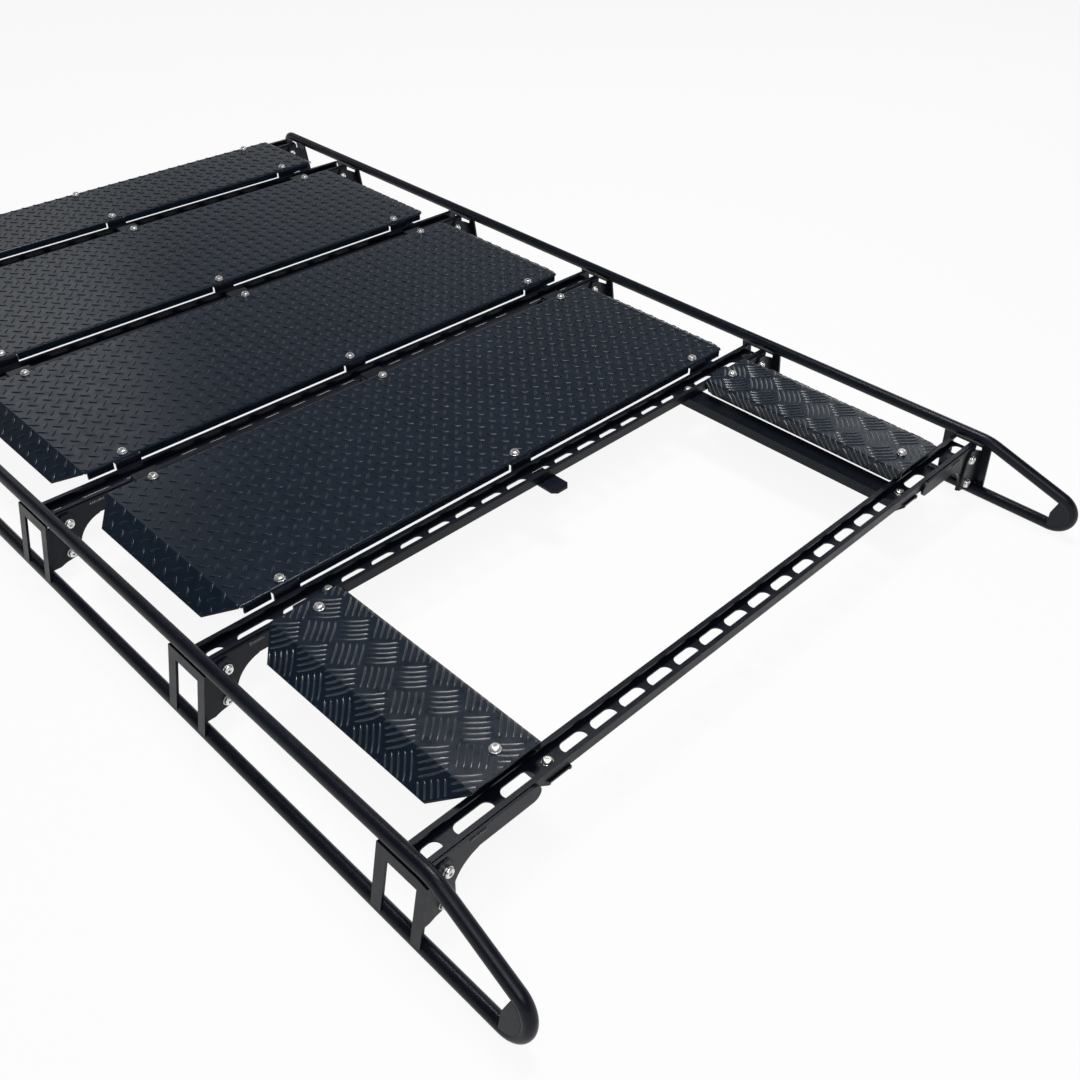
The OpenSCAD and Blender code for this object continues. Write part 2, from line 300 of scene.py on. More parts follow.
    @staticmethod
    def settle(obj: Object, slot: Slot | None, *finishes: Material) -> None:
        """Dresses a finished piece and makes it ride on the rack.

        Args:
            obj: The piece.
            slot: The record's slot that its finish comes from, or None; not used.
            *finishes: Its materials in the order of its material indices.
        """
        obj.data.materials.clear()
        for finish in finishes:
            obj.data.materials.append(finish)
        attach(obj, BODY)
        LOG.info("%s: %d faces", obj.name, len(obj.data.polygons))


# Finishes


class Graph:
    """Small helper that lays out a material's nodes."""

    def __init__(self, name: str) -> None:
        """Starts a material with the plain surface shader and object coordinates.

        Args:
            name: Name of the material.
        """
        self.material = bpy.data.materials.new(name)
        self.material.use_nodes = True
        self.tree = self.material.node_tree
        self.shader = self.tree.nodes["Principled BSDF"]
        self.place = self.add("ShaderNodeTexCoord").outputs["Object"]

    def add(self, kind: str, **values: object) -> bpy.types.Node:
        """Adds a node and sets its inputs or attributes by name.

        Args:
            kind: The node's type.
            **values: Attributes, or input numbers under the input's name with _ for a space.

        Returns:
            The node.
        """
        node = self.tree.nodes.new(kind)
        for key, value in values.items():
            if hasattr(node, key):
                setattr(node, key, value)
            else:
                node.inputs[key.replace("_", " ")].default_value = value
        return node

    def link(self, source: Socket, target: Socket) -> None:
        """Joins two sockets."""
        self.tree.links.new(source, target)

    def surface(self, name: str, value: Socket | float) -> None:
        """Sets an input of the surface shader, or links a pattern to it.

        Args:
            name: The input's name.
            value: The number, or the pattern's socket.
        """
        target = self.shader.inputs[name]
        if isinstance(value, Socket):
            self.link(value, target)
        else:
            target.default_value = value

    def noise(self, scale: float, detail: float) -> Socket:
        """Adds a noise pattern on the object's own coordinates.

        Args:
            scale: Patches to a metre.
            detail: Octaves.

        Returns:
            The socket of the pattern's height.
        """
        cloud = self.add("ShaderNodeTexNoise", Scale=scale, Detail=detail)
        self.link(self.place, cloud.inputs["Vector"])
        return cloud.outputs["Fac"]

    def span(self, source: Socket, given: Pair, wanted: Pair) -> Socket:
        """Maps a range of a pattern to another range, held at its ends.

        Args:
            source: The pattern.
            given: Start and end of its range.
            wanted: What they become.

        Returns:
            The mapped socket.
        """
        node = self.add("ShaderNodeMapRange")
        self.link(source, node.inputs["Value"])
        for label, ends in (("From", given), ("To", wanted)):
            node.inputs[f"{label} Min"].default_value = ends[0]
            node.inputs[f"{label} Max"].default_value = ends[1]
        return node.outputs["Result"]

    def blend(self, share: Socket, one: Colour, two: Colour) -> Socket:
        """Mixes two colours.

        Args:
            share: Share of the second.
            one: The first colour.
            two: The second colour.

        Returns:
            The mixed colour's socket.
        """
        node = self.add("ShaderNodeMix", data_type="RGBA")
        self.link(share, node.inputs["Factor"])
        for key, colour in (("A", one), ("B", two)):
            socket = [s for s in node.inputs if s.name == key and s.type == "RGBA"][0]
            socket.default_value = (*colour, 1.0)
        return [s for s in node.outputs if s.type == "RGBA"][0]

    def bump(self, height: Socket, strength: float, distance: float) -> Socket:
        """Adds a bump.

        Args:
            height: The pattern.
            strength: Its strength.
            distance: Its depth.

        Returns:
            The bumped normal's socket.
        """
        node = self.add("ShaderNodeBump", Strength=strength, Distance=distance)
        self.link(height, node.inputs["Height"])
        return node.outputs["Normal"]


@dataclass(frozen=True)
class Powder:
    """Baked powder coat: satin, with a fine orange peel and a little dust."""

    name: str
    colour: Colour
    dust: Colour
    rough: float
    specular: float
    peel_scale: float = 650.0
    peel_strength: float = 0.15
    peel_depth: float = 0.06 * MM
    dust_scale: float = 7.0
    dust_range: Pair = (0.42, 0.72)
    dust_share: float = 0.55
    wear_scale: float = 60.0
    smoother: float = 0.05
    rougher: float = 0.07

    def material(self) -> Material:
        """Builds the coat.

        Returns:
            The material.
        """
        g = Graph(self.name)
        peel = g.noise(self.peel_scale, detail=2.0)
        cloud = g.noise(self.dust_scale, detail=4.0)
        wear = g.noise(self.wear_scale, detail=3.0)
        dusty = g.span(cloud, self.dust_range, (0.0, self.dust_share))
        g.surface("Base Color", g.blend(dusty, self.colour, self.dust))
        ends = (self.rough - self.smoother, self.rough + self.rougher)
        g.surface("Roughness", g.span(wear, NOISE_RANGE, ends))
        g.surface("Normal", g.bump(peel, self.peel_strength, self.peel_depth))
        g.surface("Specular IOR Level", self.specular)
        return g.material


@dataclass(frozen=True)
class Stainless:
    """Turned stainless steel of bolts, washers and nuts."""

    name: str = "stainless"
    colour: Colour = (0.84, 0.84, 0.83)
    duller: float = 0.78
    rough: Pair = (0.26, 0.42)
    grain_scale: float = 900.0
    grain_strength: float = 0.12
    grain_depth: float = 0.05 * MM
    patch_scale: float = 150.0
    patch_range: Pair = (0.35, 0.65)

    def material(self) -> Material:
        """Builds the steel.

        Returns:
            The material.
        """
        g = Graph(self.name)
        grain = g.noise(self.grain_scale, detail=2.0)
        patch = g.noise(self.patch_scale, detail=3.0)
        dull = tuple(self.duller * c for c in self.colour)
        g.surface("Base Color", g.blend(g.span(patch, self.patch_range, (0.0, 1.0)), self.colour, dull))
        g.surface("Roughness", g.span(grain, NOISE_RANGE, self.rough))
        g.surface("Normal", g.bump(grain, self.grain_strength, self.grain_depth))
        g.surface("Metallic", 1.0)
        return g.material


@dataclass(frozen=True)
class SocketShade:
    """Painted shade inside a hex socket: a dark, half-metallic finish in random patches that stands in
    for the shade of the recess.
    """

    name: str = "socket_painted_shade"
    deep_shade: Colour = (0.02, 0.02, 0.02)
    lighter_shade: Colour = (0.06, 0.06, 0.055)
    rough: Pair = (0.5, 0.8)
    metallic: float = 0.6
    shade_patch_scale: float = 500.0

    def material(self) -> Material:
        """Builds the finish.

        Returns:
            The material.
        """
        g = Graph(self.name)
        shade_patch = g.noise(self.shade_patch_scale, detail=2.0)
        # The socket's colour is painted shade, darker and less dark in a random pattern.
        g.surface("Base Color", g.blend(shade_patch, self.deep_shade, self.lighter_shade))
        g.surface("Roughness", g.span(shade_patch, NOISE_RANGE, self.rough))
        g.surface("Metallic", self.metallic)
        return g.material


@dataclass(frozen=True)
class Backdrop:
    """Plain studio paper, which a camera and a mirror see nearly white."""

    name: str = "studio_paper"
    colour: Colour = (0.90, 0.90, 0.90)
    paler: float = 1.02
    share: float = 0.91
    rough: float = 0.9
    specular: float = 0.1
    tone_scale: float = 2.0

    def material(self) -> Material:
        """Builds the paper: paint that keeps the shadow, under a white seen directly.

        Returns:
            The material.
        """
        g = Graph(self.name)
        tone = g.noise(self.tone_scale, detail=2.0)
        pale = tuple(min(1.0, self.paler * c) for c in self.colour)
        g.surface("Base Color", g.blend(tone, self.colour, pale))
        g.surface("Roughness", self.rough)
        g.surface("Specular IOR Level", self.specular)
        path = g.add("ShaderNodeLightPath")
        seen = path.outputs["Is Camera Ray"]
        for ray in ("Is Glossy Ray", "Is Transmission Ray"):
            either = g.add("ShaderNodeMath", operation="MAXIMUM")
            g.link(seen, either.inputs[0])
            g.link(path.outputs[ray], either.inputs[1])
            seen = either.outputs[0]
        white = g.add("ShaderNodeEmission", Color=(1.0, 1.0, 1.0, 1.0), Strength=1.0)
        mix = g.add("ShaderNodeMixShader")
        g.link(g.span(seen, (0.0, 1.0), (0.0, self.share)), mix.inputs[0])
        g.link(g.shader.outputs["BSDF"], mix.inputs[1])
        g.link(white.outputs["Emission"], mix.inputs[2])
        g.link(mix.outputs["Shader"], g.tree.nodes["Material Output"].inputs["Surface"])
        return g.material


BLACK_POWDER = Powder(
    "black_powder", (0.0040, 0.0058, 0.0115), (0.0080, 0.0108, 0.0185), rough=0.34, specular=0.20
)
TREAD_POWDER = Powder(
    "tread_powder", (0.0038, 0.0098, 0.0200), (0.0065, 0.0145, 0.0275), rough=0.30, specular=0.30
)
# Coat of the side decks' bars: glossier, as wear polishes raised bars, and lighter, which is a painted
# highlight on the bars.
WORN_AND_HIGHLIGHT_TREAD_POWDER = Powder(
    "worn_and_highlight_tread_powder", (0.012, 0.021, 0.033), (0.034, 0.044, 0.058), rough=0.18, specular=1.0
)
# Lighter grey coat of the weld beads, a painted highlight that keeps them bright under the crossbar
# lip's shade.
WELD_HIGHLIGHT_POWDER = Powder(
    "weld_painted_highlight", (0.030, 0.032, 0.038), (0.055, 0.058, 0.065), rough=0.24, specular=0.80
)


# Tread plate


@dataclass(frozen=True)
class TreadBar:
    """One raised bar of a tread plate, with a skirt, a smaller crest and, where bow is set, a curve.

    Shoulder, its zone, skirt, skirt_top and crest are shares of the bar's own sizes.
    """

    length: float
    width: float
    height: float
    shoulder: float = 0.66
    shoulder_zone: Pair = (0.35, 0.49)
    crest: Pair = (0.42, 0.80)
    bow: float = 0.0
    sunk: float = 0.15 * MM
    sides: int = 10
    skirt: float = 0.55
    skirt_top: Pair = (0.74, 0.93)

    def build(self, name: str, degrees: float, way: int) -> Object:
        """Models the bar about the origin.

        Args:
            name: Name of the new object.
            degrees: Turn of the bar from the X axis towards +Y.
            way: Side that the bar bows to, 1 or -1.

        Returns:
            The bar.
        """
        rise = self.skirt * self.height
        # The prism is 1 across, so that scaling it gives the bar's width and length.
        obj = Bench.prism(name, self.sides, 0.5, rise + self.sunk, -self.sunk)
        bpy.ops.object.mode_set(mode="EDIT")
        bpy.ops.mesh.select_all(action="SELECT")
        bpy.ops.transform.resize(value=(self.width, self.length, 1.0))
        near, far = (share * self.length for share in self.shoulder_zone)
        Bench.pick_points(obj, lambda p: near < abs(p.y) < far)
        bpy.ops.transform.resize(value=(self.shoulder, 1.0, 1.0))
        Bench.pick_level(obj)
        bpy.ops.transform.resize(value=(*self.skirt_top, 1.0))
        bpy.ops.mesh.extrude_region_move(
            TRANSFORM_OT_translate={"value": (0.0, 0.0, self.height - rise)}
        )
        bpy.ops.transform.resize(value=(*self.crest, 1.0))
        bpy.ops.object.mode_set(mode="OBJECT")
        for point in obj.data.vertices:
            share = 2.0 * point.co.y / self.length
            point.co.x += way * self.bow * (1.0 - share * share)
        obj.data.transform(Matrix.Rotation(math.radians(degrees - 90.0), 4, "Z"))
        return obj


@dataclass(frozen=True)
class Fold:
    """Flange of a plate that bends down past a line along X, sharply or round the plate's thickness.

    The line lies y from the centre line towards the flange's side, so y is negative for a lip that
    faces the centre line.
    """

    y: float
    side: Side
    degrees: float = 30.0
    length: float = 44.0 * MM
    thick: float = 3.0 * MM
    rounded: bool = False
    slack: float = 0.01 * MM

    @classmethod
    def outer(cls, node: str, side: Side) -> "Fold":
        """Finds the fold of a plate's sloping flange from where the flange ends.

        Args:
            node: The plate.
            side: The flange's side.

        Returns:
            The fold.
        """
        angle = math.radians(cls.degrees)
        run = cls.length * math.cos(angle) + cls.thick * math.sin(angle)
        return cls(across(node, side)[1] - run, side)

    @property
    def line(self) -> float:
        """Y coordinate of the fold line."""
        return self.side * self.y

    def bend(self, obj: Object, top: float) -> None:
        """Folds what lies past the fold line down with the flange.

        Args:
            obj: Flat bars that stand on the plate's level.
            top: Height of the plate.
        """
        full = math.radians(self.degrees)
        arc = self.thick * full if self.rounded else 0.0
        Bench.take(obj)
        bpy.ops.object.mode_set(mode="EDIT")
        for share in ARC_SHARES if self.rounded else ARC_SHARES[:1]:
            bpy.ops.mesh.select_all(action="SELECT")
            level = self.line + self.side * arc * share
            bpy.ops.mesh.bisect(plane_co=(0.0, level, top), plane_no=(0.0, 1.0, 0.0))
        bpy.ops.object.mode_set(mode="OBJECT")
        axis = Vector((0.0, self.line, top - self.thick))
        for point in obj.data.vertices:
            past = self.side * (point.co.y - self.line)
            if past < self.slack:
                continue
            back = min(past, arc)
            angle = back / self.thick if self.rounded else full
            turn = Matrix.Rotation(-self.side * angle, 4, "X")
            flat = point.co - Vector((0.0, self.side * back, 0.0))
            point.co = axis + turn.to_3x3() @ (flat - axis)
        obj.data.update()

    def edge(self) -> float:
        """Distance from the centre line to the flange's edge, measured flat."""
        return self.y + self.length

    def cut_depth(self) -> float:
        """Depth in plan of the oblique corner cuts, past the fold line."""
        return self.length * math.cos(math.radians(self.degrees)) + self.thick


@dataclass
class Tread:
    """Raised pattern of one plate: two families of bars on one rectangular repeat.

    The pattern is laid flat over span, trimmed to the plate, and folded with its flanges and lip.
    """

    node: str
    bar: TreadBar
    pitch: Pair
    first: Pair
    second: Pair
    angles: Pair
    folds: list[Fold]
    span: Pair
    lip: Fold | None = None
    row: int = 1
    step: float = 0.0
    spare: int = 2
    margin: float = 2.6 * MM
    edge_gap: float = 1.2 * MM
    cut_start: float = 0.6 * MM
    cut_run: float = 48.0 * MM
    cut_reach: Pair = (75.0 * MM, 20.0 * MM)
    lip_cut: Pair = (16.6 * MM, 13.1 * MM)
    lip_cut_reach: float = 50.0 * MM

    def _family(self, start: Pair, degrees: float, turn: int, low: Vector, high: Vector) -> Object:
        """Lays one family of bars over the whole flat plate.

        Args:
            start: A place of the family, which sets its phase.
            degrees: Turn of its bars.
            turn: Sense in which the bars of a group step and bow.
            low: Lowest corner of the flat plate.
            high: Highest corner of the flat plate.

        Returns:
            The family as one object.
        """
        obj = self.bar.build(f"{self.node}_family", degrees, turn)
        if self.row > 1:
            way = math.radians(degrees + 90.0 * turn)
            jump = Vector((math.cos(way), math.sin(way), 0.0)) * self.step
            Bench.repeat(obj, self.row, jump)
            obj.data.transform(Matrix.Translation(-jump * (self.row - 1) / 2))
        px, py = self.pitch
        x = start[0] + math.floor((low.x - start[0]) / px) * px
        y = start[1] + math.floor((low.y - start[1]) / py) * py
        obj.data.transform(Matrix.Translation((x, y, high.z)))
        Bench.repeat(obj, math.ceil((high.x - low.x) / px) + self.spare, Vector((px, 0.0, 0.0)))
        Bench.repeat(obj, math.ceil((high.y - low.y) / py) + self.spare, Vector((0.0, py, 0.0)))
        return obj

    def _corners(self, obj: Object, fold: Fold, low: Vector, high: Vector) -> None:
        """Trims the pattern along a flange's two oblique corners.

        Args:
            obj: The pattern, folded.
            fold: The flange.
            low: The plate's lowest corner.
            high: The plate's highest corner.
        """
        edge = Vector((self.cut_run, fold.cut_depth(), 0.0)).normalized()
        reach_x, reach_y = self.cut_reach
        for x, way in ((low.x, 1), (high.x, -1)):
            start = Vector((x + way * self.cut_start, fold.line, 0.0))
            normal = Vector((-way * edge.y, fold.side * edge.x, 0.0))
            Bench.cut(
                obj,
                start - normal * self.edge_gap,
                normal,
                lambda p, x=x, way=way: fold.side * p.y > fold.y - reach_y
                and way * (p.x - x) < reach_x,
            )

    def _lip_corners(self, obj: Object, lip: Fold, low: Vector, high: Vector) -> None:
        """Trims the pattern along the upright lip's two cut corners.

        Args:
            obj: The pattern, folded.
            lip: The lip.
            low: The plate's lowest corner.
            high: The plate's highest corner.
        """
        run, rise = self.lip_cut
        under = high.z - lip.thick - lip.length
        for x, way in ((low.x, 1), (high.x, -1)):
            normal = Vector((-way * rise, 0.0, -run)).normalized()
            Bench.cut(
                obj,
                Vector((x + way * run, 0.0, under)) - normal * self.edge_gap,
                normal,
                lambda p, x=x, way=way: p.z < high.z - 2.0 * lip.thick
                and lip.side * (p.y - lip.line) > 0.0
                and way * (p.x - x) < self.lip_cut_reach,
            )

    def build(self, finish: Material) -> None:
        """Models the pattern, trims it to the plate and folds it with the plate's flanges.

        Args:
            finish: Material of the raised bars.
        """
        low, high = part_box(self.node)
        flat_low = Vector((low.x, self.span[0], high.z))
        flat_high = Vector((high.x, self.span[1], high.z))
        obj = Bench.join(
            self._family(self.first, self.angles[0], 1, flat_low, flat_high),
            self._family(self.second, self.angles[1], -1, flat_low, flat_high),
        )
        obj.name = f"{self.node}_tread"
        obj.data.name = obj.name
        for point, normal in (
            ((low.x + self.margin, 0.0, 0.0), (-1.0, 0.0, 0.0)),
            ((high.x - self.margin, 0.0, 0.0), (1.0, 0.0, 0.0)),
            ((0.0, self.span[0], 0.0), (0.0, -1.0, 0.0)),
            ((0.0, self.span[1], 0.0), (0.0, 1.0, 0.0)),
        ):
            Bench.cut(obj, Vector(point), Vector(normal))
        for fold in self.folds:
            fold.bend(obj, high.z)
            self._corners(obj, fold, low, high)
        if self.lip is not None:
            self.lip.bend(obj, high.z)
            self._lip_corners(obj, self.lip, low, high)
        Bench.smooth(obj, WORN_EDGE)
        Bench.settle(obj, Slot.TREAD, finish)


@dataclass
class DeckTreads:
    """Short bars, one by one, on the four decks that span the rack."""

    bar: TreadBar = TreadBar(20.0 * MM, 5.0 * MM, 1.2 * MM)
    pitch: Pair = (29.98 * MM, 26.68 * MM)
    first: Pair = (21.0 * MM, 14.4 * MM)
    second: Pair = (5.2 * MM, 0.4 * MM)
    angles: Pair = (44.0, -46.0)
    rim: float = 1.0 * MM
    shifts: tuple[tuple[str, float, float], ...] = (
        ("front_deck", 0.0, 0.0),
        ("deck_three", 0.5 * MM, -4.0 * MM),
        ("deck_two", 2.0 * MM, -11.1 * MM),
        ("rear_deck", -3.0 * MM, -2.5 * MM),
    )

    def build(self, finish: Material) -> None:
        """Models the pattern of each deck, shifted as the plate was cut.

        Args:
            finish: Material of the bars.
        """
        for node, dx, dy in self.shifts:
            folds = [Fold.outer(node, side) for side in Side]
            edge = folds[0].edge() - self.rim
            Tread(
                node,
                self.bar,
                self.pitch,
                (self.first[0] + dx, self.first[1] + dy),
                (self.second[0] + dx, self.second[1] + dy),
                self.angles,
                folds,
                (-edge, edge),
            ).build(finish)


@dataclass
class SideDeckTreads:
    """Long bowed bars in groups of five on the two side decks, run over the inner lip."""

    bar: TreadBar = TreadBar(
        43.0 * MM, 3.9 * MM, 1.3 * MM, shoulder=1.35, crest=(0.30, 0.92), bow=1.7 * MM
    )
    pitch: Pair = (60.0 * MM, 69.0 * MM)
    angles: Pair = (48.5, -48.5)
    row: int = 5
    step: float = 8.8 * MM
    rim: float = 1.0 * MM
    cut_start: float = -2.4 * MM
    lip_length: float = 21.0 * MM
    lip_run: float = 24.7 * MM
    starts: tuple[tuple[Side, float, float], ...] = (
        (Side.LEFT, 55.5 * MM, 435.6 * MM),
        (Side.RIGHT, 37.5 * MM, -450.0 * MM),
    )

    def build(self, finish: Material) -> None:
        """Models the pattern of each side deck.

        Args:
            finish: Material of the bars.
        """
        for side, x, y in self.starts:
            node = f"{side.name.lower()}_side_deck"
            fold = Fold.outer(node, side)
            inner = across(node, side)[0] + fold.thick
            lip = Fold(-inner, Side(-side), degrees=90.0, length=self.lip_length, rounded=True)
            ends = sorted((side * (inner - self.lip_run), side * (fold.edge() - self.rim)))
            Tread(
                node,
                self.bar,
                self.pitch,
                (x, y),
                (x + self.pitch[0] / 2, y - self.pitch[1] / 2),
                self.angles,
                [fold],
                (ends[0], ends[1]),
                lip=lip,
                row=self.row,
                step=self.step,
                cut_start=self.cut_start,
            ).build(finish)


# Fasteners and welds


@dataclass
class Bolt:
    """Button head socket bolt on a plain washer."""

    head: float = 14.0 * MM
    rise: float = 4.4 * MM
    crown: float = 0.62
    socket: float = 5.0 * MM
    socket_floor: float = 0.45
    washer: float = 16.0 * MM
    washer_edge: float = 0.35 * MM
    sheet: float = 1.6 * MM
    sides: int = 28
    slack: float = 0.05 * MM

    def build(self) -> Object:
        """Models the bolt on the origin, with its axis up.

        Returns:
            The bolt, with its socket's faces at material index 1.
        """
        washer = Bench.prism("washer", self.sides, self.washer / 2, self.sheet, 0.0)
        Bench.pick_level(washer)
        bpy.ops.mesh.bevel(offset=self.washer_edge, segments=2, affect="EDGES")
        head = Bench.prism("bolt", self.sides, self.head / 2, self.rise, self.sheet)
        Bench.pick_level(head)
        bpy.ops.mesh.bevel(offset=self.crown * self.rise, segments=4, profile=0.5, affect="EDGES")
        corner = self.socket / math.sqrt(3)
        floor = self.sheet + self.socket_floor * self.rise
        cutter = Bench.prism("socket", 6, corner, self.rise, floor)
        Bench.take(head)
        hole = head.modifiers.new("socket", "BOOLEAN")
        hole.operation = "DIFFERENCE"
        hole.solver = "EXACT"
        hole.object = cutter
        bpy.ops.object.modifier_apply(modifier=hole.name)
        bpy.data.objects.remove(cutter)
        Bench.join(head, washer)
        Bench.smooth(head, MACHINED_EDGE)
        inside = corner + self.slack
        brim = self.sheet + self.rise - 2 * self.slack
        for face in head.data.polygons:
            c = face.center
            face.material_index = int(math.hypot(c.x, c.y) < inside and self.sheet < c.z < brim)
        return head


@dataclass
class Nut:
    """Hex nut under a bolted sheet, with the bolt's end standing out of it."""

    flats: float = 13.0 * MM
    rise: float = 6.5 * MM
    chamfer: float = 0.8 * MM
    rim: float = 0.9 * MM
    dish: float = 0.4 * MM
    stud: float = 8.0 * MM
    stud_chamfer: float = 0.9 * MM
    stud_sides: int = 16
    proud: float = 3.0 * MM

    def build(self) -> Object:
        """Models the nut under the origin, with its axis down.

        Returns:
            The nut.
        """
        nut = Bench.prism("nut", 6, self.flats / math.sqrt(3), self.rise, -self.rise)
        Bench.pick_level(nut, up=False, down=True)
        bpy.ops.mesh.bevel(offset=self.chamfer, segments=2, affect="EDGES")
        Bench.pick_level(nut, up=False, down=True)
        bpy.ops.mesh.inset(thickness=self.rim)
        bpy.ops.transform.translate(value=(0.0, 0.0, self.dish))
        depth = self.rise + self.proud
        stud = Bench.prism("stud", self.stud_sides, self.stud / 2, depth, -depth)
        Bench.pick_level(stud, up=False, down=True)
        bpy.ops.mesh.bevel(offset=self.stud_chamfer, segments=2, affect="EDGES")
        Bench.join(nut, stud)
        Bench.smooth(nut, MACHINED_EDGE)
        return nut


@dataclass
class Fasteners:
    """Every bolt, washer and nut of the rack, placed by the nodes that they hold."""

    inset: float = 12.0 * MM
    side_insets: Pair = (23.0 * MM, 29.0 * MM)
    tab_width: float = 43.0 * MM
    proud: float = 0.9 * MM
    grip: float = 6.0 * MM
    wall: float = 4.0 * MM
    wall_bolts: tuple[Pair, ...] = ((592.0 * MM, 92.0 * MM), (600.0 * MM, 40.0 * MM))
    channel_floor: float = 2.5 * MM
    bolt: Bolt = field(default_factory=Bolt)
    nut: Nut = field(default_factory=Nut)

    def deck_places(self) -> dict[str, list[Vector]]:
        """Works out the bolts of each deck, on the plate's top.

        Returns:
            Places by deck node.
        """
        tab_y = across("deck_tabs", Side.LEFT)[1] - self.tab_width / 2
        places: dict[str, list[Vector]] = {}
        for node, _, _ in DeckTreads().shifts:
            low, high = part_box(node)
            rows = (high.x - self.inset, low.x + self.inset)
            places[node] = [Vector((x, y, high.z)) for x in rows for y in (-tab_y, 0.0, tab_y)]
        for side in Side:
            node = f"{side.name.lower()}_side_deck"
            low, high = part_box(node)
            rows = (low.x + self.side_insets[0], high.x - self.side_insets[1])
            places[node] = [Vector((x, side * tab_y, high.z)) for x in rows]
        return places

    def bracket_places(self) -> list[Vector]:
        """Works out the two bolts of each upright, on the wall that the gusset is bolted to.

        Returns:
            Places on the wall's front.
        """
        places = []
        for bar in CROSSBARS:
            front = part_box(f"gussets_{bar}")[1].x + self.wall
            places += [Vector((front, side * y, z)) for side in Side for y, z in self.wall_bolts]
        return places

    def inner_bar_places(self) -> list[Vector]:
        """Works out the bolts of the inner bars, on the floors of the two crossbars they join.

        Returns:
            Places on the floors.
        """
        middle = sum(across("left_inner_bar", Side.LEFT)) / 2
        places = []
        for bar in CROSSBARS[-2:]:
            low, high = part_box(f"crossbar_{bar}")
            x, floor = (low.x + high.x) / 2, low.z + self.channel_floor
            places += [Vector((x, side * middle, floor)) for side in Side]
        return places

    def build(self, steel: Material, socket_shade: Material) -> None:
        """Models and places them all.

        Args:
            steel: Finish of the bolts.
            socket_shade: Painted shade of their sockets.
        """
        lift = Matrix.Translation((0.0, 0.0, self.proud))
        under = Matrix.Translation((0.0, 0.0, -self.grip))
        ahead = Matrix.Rotation(math.radians(90.0), 4, "Y")
        for node, places in self.deck_places().items():
            spots = [Matrix.Translation(p) for p in places]
            bolts = Bench.copies(self.bolt.build(), f"{node}_bolts", [lift @ s for s in spots])
            Bench.settle(bolts, None, steel, socket_shade)
            nuts = Bench.copies(self.nut.build(), f"{node}_nuts", [under @ s for s in spots])
            Bench.settle(nuts, None, steel, socket_shade)
        spots = [Matrix.Translation(p) @ ahead for p in self.bracket_places()]
        bolts = Bench.copies(self.bolt.build(), "bracket_bolts", spots)
        Bench.settle(bolts, None, steel, socket_shade)
        spots = [Matrix.Translation(p) for p in self.inner_bar_places()]
        bolts = Bench.copies(self.bolt.build(), "inner_bar_bolts", spots)
        Bench.settle(bolts, None, steel, socket_shade)


@dataclass
class Weld:
    """Short rippled weld bead near the top of each gusset's front face, in a lighter grey coat that is
    a painted highlight.
    """

    radius: float = 1.8 * MM
    sides: int = 12
    rounding: float = 0.45
    ripple: float = 4.2 * MM
    step: float = 3.5 * MM
    ripples: int = 7
    middle: float = 541.0 * MM
    drop: float = 4.5 * MM

    def build(self, finish: Material) -> None:
        """Models a bead of overlapping ripples and puts one on every gusset.

        Args:
            finish: The lighter grey coat over the weld, a painted highlight.
        """
        bead = Bench.prism("bead", self.sides, self.radius, self.ripple, -self.ripple / 2)
        Bench.pick_level(bead, up=True, down=True)
        bpy.ops.mesh.bevel(offset=self.rounding * self.radius, segments=2, affect="EDGES")
        bpy.ops.object.mode_set(mode="OBJECT")
        Bench.repeat(bead, self.ripples, Vector((0.0, 0.0, self.step)))
        bead.data.transform(Matrix.Translation((0.0, 0.0, -self.step * (self.ripples - 1) / 2)))
        bead.data.transform(Matrix.Rotation(math.radians(90.0), 4, "X"))
        Bench.smooth(bead, WORN_EDGE)
        places = []
        for bar in CROSSBARS:
            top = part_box(f"gussets_{bar}")[1]
            places += [
                Matrix.Translation((top.x, side * self.middle, top.z - self.drop)) for side in Side
            ]
        Bench.settle(Bench.copies(bead, "gusset_welds", places), None, finish)


# Carried-over CAD


@dataclass
class Dress:
    """Finishes of the CAD nodes."""

    powder: Material
    tread: Material

    def apply(self) -> None:
        """Puts each node's finish in its material slots, by the record's slot."""
        for part in frame["record"]["subparts"]:
            node = frame["nodes"][part["node"]]
            finish = self.tread if part["material_slot"] == Slot.TREAD.value else self.powder
            if not node.material_slots:
                node.data.materials.append(finish)
            for slot in node.material_slots:
                slot.material = finish
            LOG.info("%s: %s", node.name, finish.name)


# Studio


@dataclass(frozen=True)
class Lamp:
    """Soft square white lamp, with the length of its side and its power in watts."""

    name: str
    place: Point
    size: float
    power: float
    aim: Point = (0.25, 0.0, 0.1)

    def hang(self) -> None:
        """Adds the lamp to the scene."""
        data = bpy.data.lights.new(self.name, "AREA")
        data.shape = "SQUARE"
        data.size = self.size
        data.energy = self.power
        obj = bpy.data.objects.new(self.name, data)
        bpy.context.scene.collection.objects.link(obj)
        obj.location = self.place
        obj.rotation_mode = "QUATERNION"
        way = Vector(self.aim) - Vector(self.place)
        obj.rotation_quaternion = way.to_track_quat("-Z", "Y")


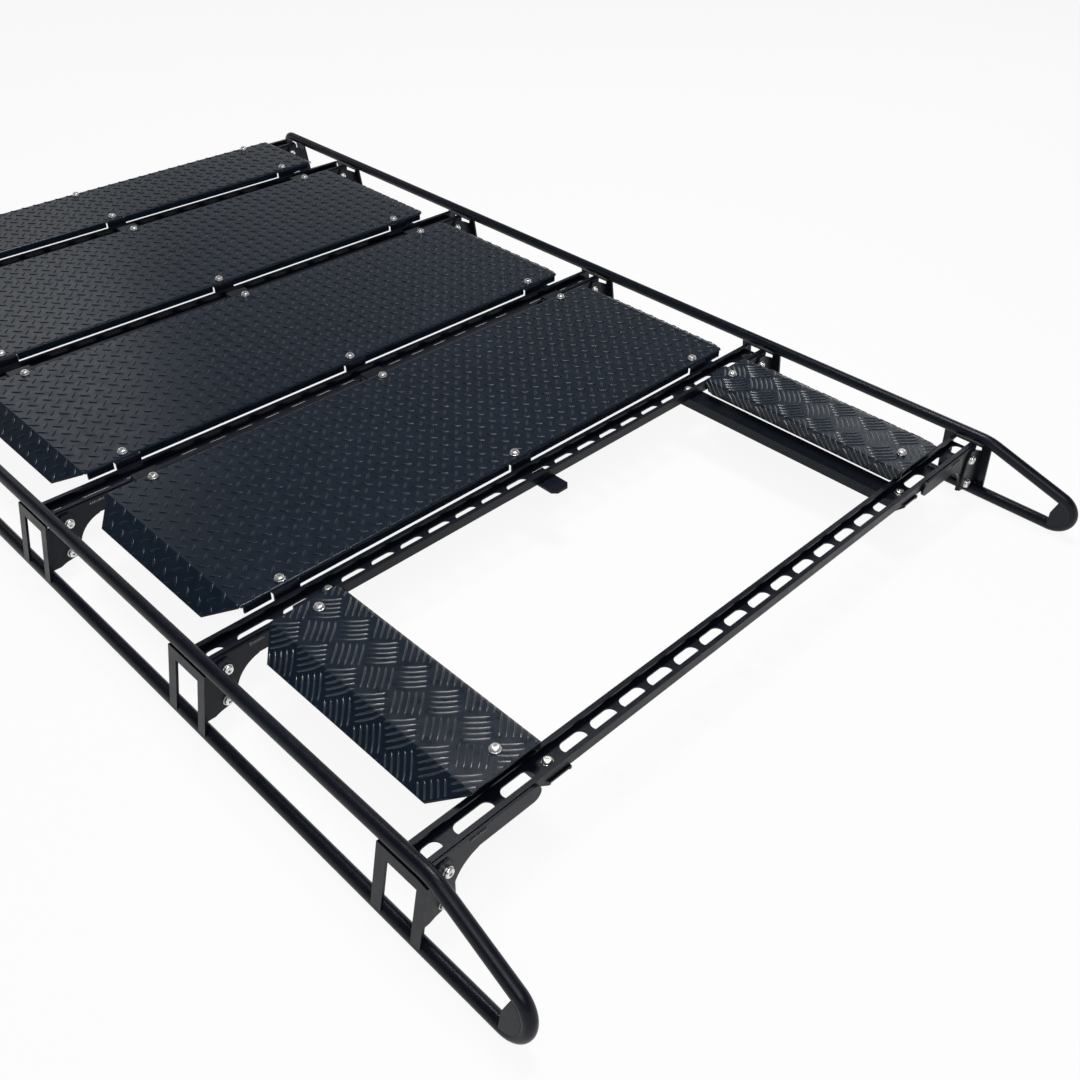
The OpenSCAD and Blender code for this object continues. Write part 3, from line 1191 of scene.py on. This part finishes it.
@dataclass(frozen=True)
class Studio:
    """Camera at the photograph's angle, soft lamps and a plain pale floor."""

    place: Point = (1.52028, -1.07625, 1.17067)
    right: Point = (0.70714388, 0.70673359, 0.02179825)
    up: Point = (-0.45098173, 0.42707057, 0.78372585)
    view: Point = (-0.54457599, 0.56403755, -0.62072428)
    sensor: float = 36.0
    focal: float = 37.905
    clip: Pair = (0.01, 100.0)
    world_light: float = 0.08
    floor_size: float = 30.0
    floor_level: float = -0.5 * MM
    wall_radius: float = 14.0
    wall_height: float = 4.4
    wall_foot: float = -1.0 * MM
    wall_sides: int = 96
    lamps: tuple[Lamp, ...] = (
        Lamp("sky", (0.1, 0.5, 3.2), 0.9, 62.0),
        Lamp("left", (-0.35, 3.7, 1.8), 1.2, 9.0),
        Lamp("rear", (-3.4, 0.5, 2.0), 1.2, 6.0),
        Lamp("sheen", (-2.7, 2.8, 3.1), 3.0, 3.0),
        Lamp("nose", (1.9, -1.3, 2.6), 1.5, 34.0, aim=(0.9, -0.4, 0.1)),
    )

    def camera(self) -> None:
        """Sets up the camera."""
        lens = bpy.data.cameras.new("camera")
        lens.sensor_width = self.sensor
        lens.lens = self.focal
        lens.clip_start, lens.clip_end = self.clip
        obj = bpy.data.objects.new("camera", lens)
        bpy.context.scene.collection.objects.link(obj)
        turn = Matrix((self.right, self.up, tuple(-v for v in self.view))).transposed()
        obj.matrix_world = Matrix.Translation(self.place) @ turn.to_4x4()
        bpy.context.scene.camera = obj

    def world(self) -> None:
        """Sets a plain grey world."""
        world = bpy.data.worlds.new("studio")
        bpy.context.scene.world = world
        world.use_nodes = True
        back = world.node_tree.nodes["Background"]
        back.inputs["Color"].default_value = (1.0, 1.0, 1.0, 1.0)
        back.inputs["Strength"].default_value = self.world_light

    def paper(self) -> None:
        """Lays the floor just under the rack and stands a round wall of paper on it."""
        finish = Backdrop().material()
        Bench.clear()
        bpy.ops.mesh.primitive_plane_add(
            size=self.floor_size, location=(0.0, 0.0, self.floor_level)
        )
        floor = bpy.context.object
        floor.name = "floor"
        Bench.clear()
        bpy.ops.mesh.primitive_cylinder_add(
            vertices=self.wall_sides,
            radius=self.wall_radius,
            depth=self.wall_height,
            end_fill_type="NOTHING",
            location=(0.0, 0.0, self.wall_foot + self.wall_height / 2),
        )
        wall = bpy.context.object
        wall.name = "wall"
        for obj in (floor, wall):
            Bench.take(obj)
            bpy.ops.object.transform_apply(location=True, rotation=True, scale=True)
            obj.data.materials.append(finish)

    def build(self) -> None:
        """Sets up the studio."""
        bpy.context.scene.view_settings.view_transform = "Standard"
        self.camera()
        self.world()
        for lamp in self.lamps:
            lamp.hang()
        self.paper()


# Main


def main() -> None:
    logging.basicConfig(level=logging.INFO, format="%(message)s")
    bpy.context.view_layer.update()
    Studio().build()
    tread = TREAD_POWDER.material()
    Dress(BLACK_POWDER.material(), tread).apply()
    DeckTreads().build(tread)
    # The side decks' bars take the lighter coat, partly a painted highlight.
    SideDeckTreads().build(WORN_AND_HIGHLIGHT_TREAD_POWDER.material())
    Weld().build(WELD_HIGHLIGHT_POWDER.material())
    # The bolts' sockets take a painted shade.
    Fasteners().build(Stainless().material(), SocketShade().material())


if __name__ == "__main__":
    main()
